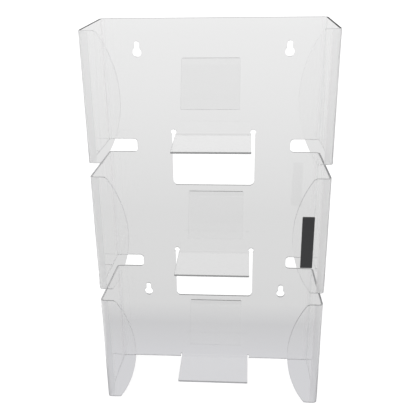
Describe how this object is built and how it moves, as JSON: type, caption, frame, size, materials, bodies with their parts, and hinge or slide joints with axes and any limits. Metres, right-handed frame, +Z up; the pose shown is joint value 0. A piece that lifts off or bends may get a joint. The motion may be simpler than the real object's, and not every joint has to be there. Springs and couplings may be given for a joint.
{
  "type": "disposable glove dispenser",
  "caption": "Clear folded-sheet wall dispenser with stacked open-front compartments for boxes of disposable gloves, keyhole hangers and spring leaves that press each box forward.",
  "frame": {"origin": "on the face that meets the wall, midway between the seats of the two upper keyholes", "axes": "+Z up, +Y into the wall, front towards -Y"},
  "size_m": [0.2328, 0.0835, 0.4002],
  "materials": {
    "clear_sheet": "clear sheet, polished faces, satin sawn edges",
    "clear_leaf": "clear sheet, polished faces"
  },
  "bodies": {
    "dispenser": {"folded_sheet": "clear_sheet"},
    "leaf_1": {"spring_leaf_1": "clear_leaf"},
    "leaf_2": {"spring_leaf_2": "clear_leaf"},
    "leaf_3": {"spring_leaf_3": "clear_leaf"}
  },
  "joints": [
    {"name": "leaf_1_flex", "type": "hinge", "parent": "dispenser", "child": "leaf_1", "pos_m": [-0.0018, -0.0072, -0.01841], "axis": [1, 0, 0], "range_deg": [0, 25], "stiffness_Nm_per_rad": 1},
    {"name": "leaf_2_flex", "type": "hinge", "parent": "dispenser", "child": "leaf_2", "pos_m": [0.0028, -0.0072, -0.16211], "axis": [1, 0, 0], "range_deg": [0, 25], "stiffness_Nm_per_rad": 1},
    {"name": "leaf_3_flex", "type": "hinge", "parent": "dispenser", "child": "leaf_3", "pos_m": [0.002, -0.0072, -0.29911], "axis": [1, 0, 0], "range_deg": [0, 25], "stiffness_Nm_per_rad": 1}
  ]
}
